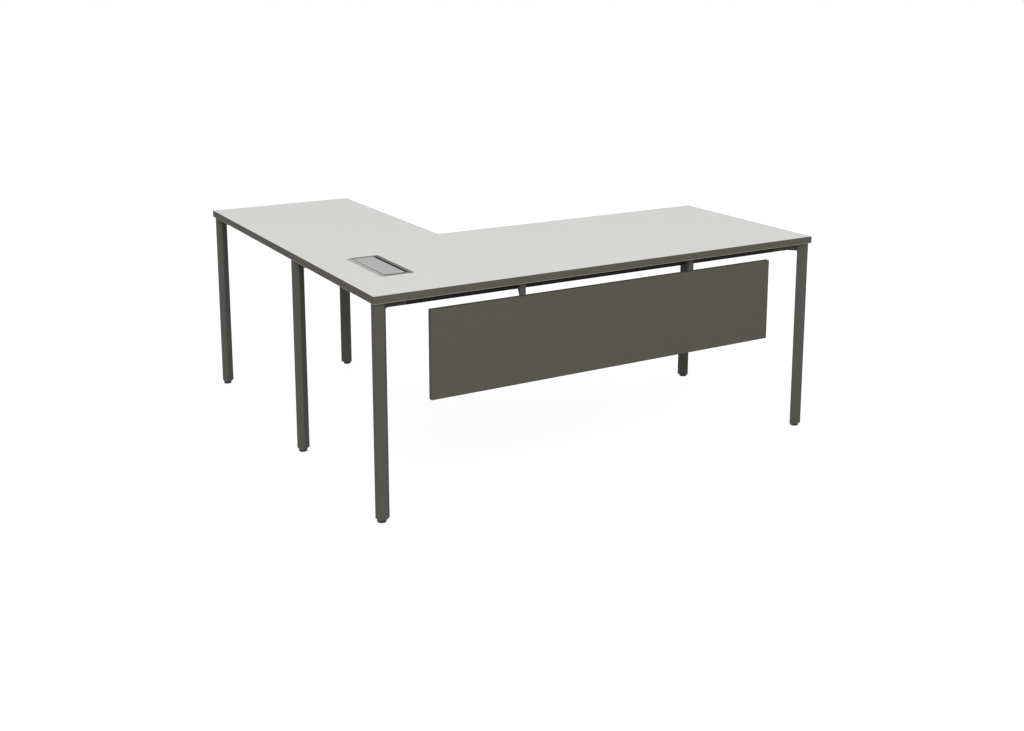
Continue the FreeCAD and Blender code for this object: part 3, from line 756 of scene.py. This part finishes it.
class DESK_OT_fasteners(bpy.types.Operator):
    """Build the bolts and screws with their driven heads"""

    bl_idname = "desk.fasteners"
    bl_label = "Fasteners"

    # Each group of fasteners, with the shape of its drive
    groups = {
        "leg_bolts": "hexagon",
        "angle_bolts": "hexagon",
        "connector_screws": "hexagon",
        "top_screws": "cross",
        "joint_plate_screws": "cross",
        "bracket_screws": "cross",
        "panel_screws": "cross",
        "port_screws": "cross",
    }
    ways = [Vector(w).normalized() for w in (
        (1, 0, 0), (-1, 0, 0), (0, 1, 0), (0, -1, 0), (0, 0, 1), (0, 0, -1),
        (1, 1, 0), (1, -1, 0), (-1, 1, 0), (-1, -1, 0),
    )]
    turn_steps = 24

    # Depths in mm: points this near an end lie on it, and points deeper than this are past the head's end
    end_depth = 0.2
    under_end = 0.5
    # Head's section from the shank outwards and up, as shares of the head's radius and height
    head_section = ((0.96, 1.0), (1.0, 0.92), (1.0, 0.45), (0.94, 0.18), (0.8, 0.02), (0.74, 0.0))
    # Drive's reach as a share of the head's radius, its depth as one of the head's height, its narrowing
    # towards its floor, and half the width of a cross's arms as a share of its reach
    drive_share = {"hexagon": 0.5, "cross": 0.58}
    drive_depth = 0.6
    drive_taper = 0.9
    cross_arm = 0.34
    least_sine = 0.01
    # Tip's radius and length as shares of the shank's radius, and the longest share of the shank it takes
    tips = {"hexagon": (0.8, 0.25), "cross": (0.35, 1.6)}
    longest_tip = 0.4

    def measure(self, points):
        """Where a fastener's head ends, which way it faces, and its head and shank sizes."""
        best = None
        for way in self.ways:
            levels = [p.dot(way) for p in points]
            top = max(levels)
            ring = [p for p, t in zip(points, levels) if top - t < self.end_depth * MM]
            centre = sum(ring, Vector()) / len(ring)
            radii = [((p - centre) - way * (p - centre).dot(way)).length for p in points]
            head = max(r for r, t in zip(radii, levels) if top - t < self.end_depth * MM)
            if head < max(radii) - LEVEL or (best and max(radii) >= best[0]):
                continue
            under = max(t for t in levels if top - t > self.under_end * MM)
            tip = min(levels)
            shank = max(r for r, t in zip(radii, levels) if t - tip < self.end_depth * MM)
            best = (max(radii), centre, way, head, top - under, shank, under - tip)
        if best is None:
            raise RuntimeError("a fastener's head was not found")
        return best[1:]

    def drive_reach(self, drive, angle, size):
        """How far a drive's outline lies from the axis at an angle."""
        if drive == "hexagon":
            part = (angle + math.pi / 6) % (math.pi / 3) - math.pi / 6
            return size * math.cos(math.pi / 6) / math.cos(part)
        part = abs((angle + math.pi / 4) % (math.pi / 2) - math.pi / 4)
        return min(size, size * self.cross_arm / max(math.sin(part), self.least_sine))

    def shape(self, drive, head, height, shank, reach):
        """One fastener with its head's end at the origin, facing +Z."""
        drive_size = head * self.drive_share[drive]
        tip, taper = self.tips[drive]
        end = -height - reach
        bm = spun([
            (0, end), (shank * tip, end), (shank, end + min(shank * taper, reach * self.longest_tip)),
            (shank, -height), *[(head * across, -height * down) for across, down in self.head_section],
            (drive_size, 0),
        ], self.turn_steps)
        rim = [e for e in bm.edges if e.is_boundary]
        for v in {v for e in rim for v in e.verts}:
            v.co.xy *= self.drive_reach(drive, math.atan2(v.co.y, v.co.x), drive_size) / v.co.xy.length
        sunk = bmesh.ops.extrude_edge_only(bm, edges=rim)["geom"]
        floor = [g for g in sunk if isinstance(g, bmesh.types.BMVert)]
        bmesh.ops.translate(bm, vec=(0, 0, -height * self.drive_depth), verts=floor)
        bmesh.ops.scale(bm, vec=(self.drive_taper, self.drive_taper, 1), verts=floor)
        bmesh.ops.holes_fill(bm, edges=[e for e in bm.edges if e.is_boundary], sides=0)
        bmesh.ops.recalc_face_normals(bm, faces=bm.faces)
        mesh = bpy.data.meshes.new("fastener")
        bm.to_mesh(mesh)
        bm.free()
        return mesh

    def execute(self, context):
        for node, drive in self.groups.items():
            bm = bmesh.new()
            for points in loose_parts(node):
                centre, way, *sizes = self.measure(points)
                mesh = self.shape(drive, *sizes)
                mesh.transform(Matrix.Translation(centre) @ way.to_track_quat("Z", "Y").to_matrix().to_4x4())
                bm.from_mesh(mesh)
                bpy.data.meshes.remove(mesh)
            piece(node.replace("_", "_steel_"), bm, "zinc_steel", replaced=(node,))
        return {"FINISHED"}


class DESK_OT_stage(bpy.types.Operator):
    """Set the floor, the light and the camera"""

    bl_idname = "desk.stage"
    bl_label = "Stage"

    # The floor's grey and roughness for light on the desk, and its grey and glow for the camera
    floor_bounce = 0.35
    floor_roughness = 0.9
    floor_shade = 0.25
    floor_glow = 0.85
    # The lamp's place, aim and width in metres
    lamp_place = (-7.3, -13.8, 9.5)
    lamp_aim = (0, 0, 0.5)
    lamp_size = 10.0

    def seen_straight(self, tree):
        """1 for what the camera sees directly, in a mirror or through glass."""
        path = add_node(tree, "ShaderNodeLightPath")
        either = add_node(tree, "ShaderNodeMath", {
            0: path.outputs["Is Camera Ray"], 1: path.outputs["Is Glossy Ray"],
        }, operation="MAXIMUM")
        return add_node(tree, "ShaderNodeMath", {
            0: either.outputs["Value"], 1: path.outputs["Is Transmission Ray"],
        }, operation="MAXIMUM").outputs["Value"]

    def floor_paint(self):
        """Matt white paper: even, with a glow for the camera that leaves the desk's shadow in it."""
        material = bpy.data.materials.new("studio_paper")
        material.use_nodes = True
        tree = material.node_tree
        shader = tree.nodes["Principled BSDF"]
        shader.inputs["Base Color"].default_value = (self.floor_bounce,) * 3 + (1,)
        shader.inputs["Roughness"].default_value = self.floor_roughness
        shader.inputs["Specular IOR Level"].default_value = 0.0
        glow = add_node(tree, "ShaderNodeEmission", {"Color": (1, 1, 1, 1), "Strength": self.floor_glow})
        lit = add_node(tree, "ShaderNodeBsdfDiffuse", {"Color": (self.floor_shade,) * 3 + (1,)})
        seen = add_node(tree, "ShaderNodeAddShader", {0: lit.outputs["BSDF"], 1: glow.outputs["Emission"]})
        mix = add_node(tree, "ShaderNodeMixShader", {
            0: self.seen_straight(tree), 1: shader.outputs["BSDF"], 2: seen.outputs["Shader"],
        })
        tree.links.new(mix.outputs["Shader"], tree.nodes["Material Output"].inputs["Surface"])
        return material

    def execute(self, context):
        scene, stage = context.scene, context.scene.desk_stage
        scene.view_settings.view_transform = "Standard"

        bm = bmesh.new()
        bmesh.ops.create_grid(
            bm, x_segments=1, y_segments=1, size=stage.floor / 2,
            matrix=Matrix.Translation((0, 0, -stage.floor_drop)),
        )
        mesh = bpy.data.meshes.new("floor")
        bm.to_mesh(mesh)
        bm.free()
        mesh.materials.append(self.floor_paint())
        floor = bpy.data.objects.new("floor", mesh)
        scene.collection.objects.link(floor)

        world = bpy.data.worlds.new("studio")
        world.use_nodes = True
        scene.world = world
        tree = world.node_tree
        tree.nodes.clear()
        light = add_node(tree, "ShaderNodeBackground", {"Color": (1, 1, 1, 1), "Strength": stage.sky})
        white = add_node(tree, "ShaderNodeBackground", {"Color": (1, 1, 1, 1), "Strength": 1.0})
        mix = add_node(tree, "ShaderNodeMixShader", {
            0: self.seen_straight(tree), 1: light.outputs["Background"], 2: white.outputs["Background"],
        })
        add_node(tree, "ShaderNodeOutputWorld", {"Surface": mix.outputs["Shader"]})

        lamp = bpy.data.lights.new("key", "AREA")
        lamp.energy = stage.key
        lamp.size = self.lamp_size
        key = bpy.data.objects.new("key", lamp)
        key.location = self.lamp_place
        key.rotation_euler = (Vector(self.lamp_aim) - key.location).to_track_quat("-Z", "Y").to_euler()
        scene.collection.objects.link(key)

        lens = bpy.data.cameras.new("camera")
        lens.lens = stage.lens
        lens.shift_y = stage.shift
        camera = bpy.data.objects.new("camera", lens)
        camera.location = stage.eye
        camera.rotation_euler = (math.pi / 2 - stage.pitch, 0, -stage.yaw)
        scene.collection.objects.link(camera)
        scene.camera = camera
        return {"FINISHED"}


OPERATORS = (
    DESK_OT_stage, DESK_OT_tops, DESK_OT_legs, DESK_OT_feet, DESK_OT_frame, DESK_OT_modesty_panel,
    DESK_OT_cable_port, DESK_OT_fasteners,
)
GROUPS = {"desk_finishes": DeskFinishes, "desk_sizes": DeskSizes, "desk_stage": DeskStage}


class DESK_PT_panel(bpy.types.Panel):
    """Lists the desk's pieces, with their sizes and colours"""

    bl_idname = "DESK_PT_panel"
    bl_label = "Desk"
    bl_space_type = "VIEW_3D"
    bl_region_type = "UI"
    bl_category = "Desk"

    def draw(self, context):
        for operator in OPERATORS:
            self.layout.operator(operator.bl_idname)
        for name in GROUPS:
            group = getattr(context.scene, name)
            for prop in group.__annotations__:
                self.layout.prop(group, prop)


def register():
    for made in (*GROUPS.values(), *OPERATORS, DESK_PT_panel):
        bpy.utils.register_class(made)
    for name, group in GROUPS.items():
        setattr(bpy.types.Scene, name, PointerProperty(type=group))


def unregister():
    for name in GROUPS:
        delattr(bpy.types.Scene, name)
    for made in reversed((*GROUPS.values(), *OPERATORS, DESK_PT_panel)):
        bpy.utils.unregister_class(made)


def main():
    register()
    bpy.ops.desk.stage()
    bpy.ops.desk.tops()
    bpy.ops.desk.legs()
    bpy.ops.desk.feet()
    bpy.ops.desk.frame()
    bpy.ops.desk.modesty_panel()
    bpy.ops.desk.cable_port()
    bpy.ops.desk.fasteners()


if __name__ == "__main__":
    main()
